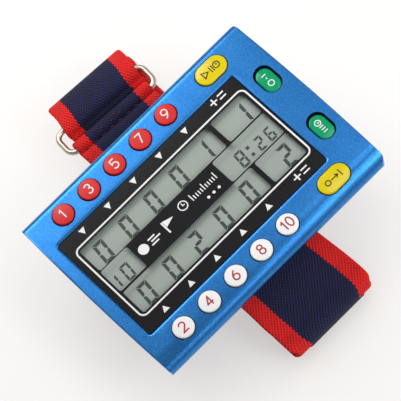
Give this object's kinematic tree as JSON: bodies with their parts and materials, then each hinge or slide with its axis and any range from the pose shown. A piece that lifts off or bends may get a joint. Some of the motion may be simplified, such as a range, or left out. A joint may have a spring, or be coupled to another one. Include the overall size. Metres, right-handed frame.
{
  "type": "wrist score counter and game timer",
  "caption": "Wrist-worn game timer and score counter: flat two-shell case with a segment display, numbered and function keys, battery door and a webbing belt with a wire loop.",
  "frame": {"origin": "on the flat underside of the belt's tail, below the middle of the case", "axes": "+X along the reading direction of the display, +Y towards the odd-numbered keys, +Z out of the face"},
  "size_m": [0.092, 0.1172, 0.0307],
  "materials": {
    "case_blue": "blue pearl lacquer on moulded plastic, satin gloss",
    "back_blue": "fine satin moulded plastic",
    "lens_black": "clear plate with a black printed surround",
    "display_grey": "reflective segment display glass",
    "holder_white": "natural moulded plastic",
    "strip_rubber": "striped conductive rubber",
    "board_green": "glass-fibre board with solder mask",
    "chip_black": "moulded epoxy",
    "switch_black": "moulded plastic",
    "buzzer_brass": "rolled brass with a ceramic face",
    "steel": "nickel-plated steel",
    "key_red": "satin gloss moulded plastic",
    "key_white": "satin gloss moulded plastic",
    "key_yellow": "satin gloss moulded plastic",
    "key_green": "satin gloss moulded plastic",
    "belt_webbing": "elastic twill webbing, navy with red edge stripes",
    "hook_tape": "black hook tape",
    "loop_wire": "nickel-plated round wire"
  },
  "bodies": {
    "case": {"belt": "belt_webbing", "buzzer_disc": "buzzer_brass", "case_screw_1": "steel", "case_screw_2": "steel", "case_screw_3": "steel", "case_screw_4": "steel", "cell_side_contact": "steel", "cell_spring_contact": "steel", "circuit_board": "board_green", "coin_cell": "steel", "contact_strip_lower": "strip_rubber", "contact_strip_upper": "strip_rubber", "display_holder": "holder_white", "display_lens": "lens_black", "display_panel": "display_grey", "front_case": "case_blue", "hook_patch": "hook_tape", "processor_chip": "chip_black", "rear_case": "back_blue", "switch_1": "switch_black", "switch_10": "switch_black", "switch_2": "switch_black", "switch_3": "switch_black", "switch_4": "switch_black", "switch_5": "switch_black", "switch_6": "switch_black", "switch_7": "switch_black", "switch_8": "switch_black", "switch_9": "switch_black", "switch_out": "switch_black", "switch_power": "switch_black", "switch_start": "switch_black", "switch_timer": "switch_black"},
    "key_1": {"key_1": "key_red"},
    "key_2": {"key_2": "key_white"},
    "key_3": {"key_3": "key_red"},
    "key_4": {"key_4": "key_white"},
    "key_5": {"key_5": "key_red"},
    "key_6": {"key_6": "key_white"},
    "key_7": {"key_7": "key_red"},
    "key_8": {"key_8": "key_white"},
    "key_9": {"key_9": "key_red"},
    "key_10": {"key_10": "key_white"},
    "key_start": {"key_start": "key_yellow"},
    "key_out": {"key_out": "key_yellow"},
    "key_power": {"key_power": "key_green"},
    "key_timer": {"key_timer": "key_green"},
    "battery_door": {"battery_door": "back_blue"},
    "belt_loop": {"belt_loop": "loop_wire"}
  },
  "joints": [
    {"name": "press_1", "type": "slide", "parent": "case", "child": "key_1", "axis": [0, 0, -1], "range_m": [0, 0.0006], "stiffness_N_per_m": 400, "springref_m": -0.0003},
    {"name": "press_2", "type": "slide", "parent": "case", "child": "key_2", "axis": [0, 0, -1], "range_m": [0, 0.0006], "stiffness_N_per_m": 400, "springref_m": -0.0003},
    {"name": "press_3", "type": "slide", "parent": "case", "child": "key_3", "axis": [0, 0, -1], "range_m": [0, 0.0006], "stiffness_N_per_m": 400, "springref_m": -0.0003},
    {"name": "press_4", "type": "slide", "parent": "case", "child": "key_4", "axis": [0, 0, -1], "range_m": [0, 0.0006], "stiffness_N_per_m": 400, "springref_m": -0.0003},
    {"name": "press_5", "type": "slide", "parent": "case", "child": "key_5", "axis": [0, 0, -1], "range_m": [0, 0.0006], "stiffness_N_per_m": 400, "springref_m": -0.0003},
    {"name": "press_6", "type": "slide", "parent": "case", "child": "key_6", "axis": [0, 0, -1], "range_m": [0, 0.0006], "stiffness_N_per_m": 400, "springref_m": -0.0003},
    {"name": "press_7", "type": "slide", "parent": "case", "child": "key_7", "axis": [0, 0, -1], "range_m": [0, 0.0006], "stiffness_N_per_m": 400, "springref_m": -0.0003},
    {"name": "press_8", "type": "slide", "parent": "case", "child": "key_8", "axis": [0, 0, -1], "range_m": [0, 0.0006], "stiffness_N_per_m": 400, "springref_m": -0.0003},
    {"name": "press_9", "type": "slide", "parent": "case", "child": "key_9", "axis": [0, 0, -1], "range_m": [0, 0.0006], "stiffness_N_per_m": 400, "springref_m": -0.0003},
    {"name": "press_10", "type": "slide", "parent": "case", "child": "key_10", "axis": [0, 0, -1], "range_m": [0, 0.0006], "stiffness_N_per_m": 400, "springref_m": -0.0003},
    {"name": "press_start", "type": "slide", "parent": "case", "child": "key_start", "axis": [0, 0, -1], "range_m": [0, 0.0006], "stiffness_N_per_m": 400, "springref_m": -0.0003},
    {"name": "press_out", "type": "slide", "parent": "case", "child": "key_out", "axis": [0, 0, -1], "range_m": [0, 0.0006], "stiffness_N_per_m": 400, "springref_m": -0.0003},
    {"name": "press_power", "type": "slide", "parent": "case", "child": "key_power", "axis": [0, 0, -1], "range_m": [0, 0.0006], "stiffness_N_per_m": 400, "springref_m": -0.0003},
    {"name": "press_timer", "type": "slide", "parent": "case", "child": "key_timer", "axis": [0, 0, -1], "range_m": [0, 0.0006], "stiffness_N_per_m": 400, "springref_m": -0.0003},
    {"name": "door_slide", "type": "slide", "parent": "case", "child": "battery_door", "axis": [-1, 0, 0], "range_m": [0, 0.022]},
    {"name": "loop_tilt", "type": "hinge", "parent": "case", "child": "belt_loop", "pos_m": [0.00119, 0.04656, 0.0135], "axis": [0.9981, -0.0619, 0], "range_deg": [-4, 0.5]}
  ]
}
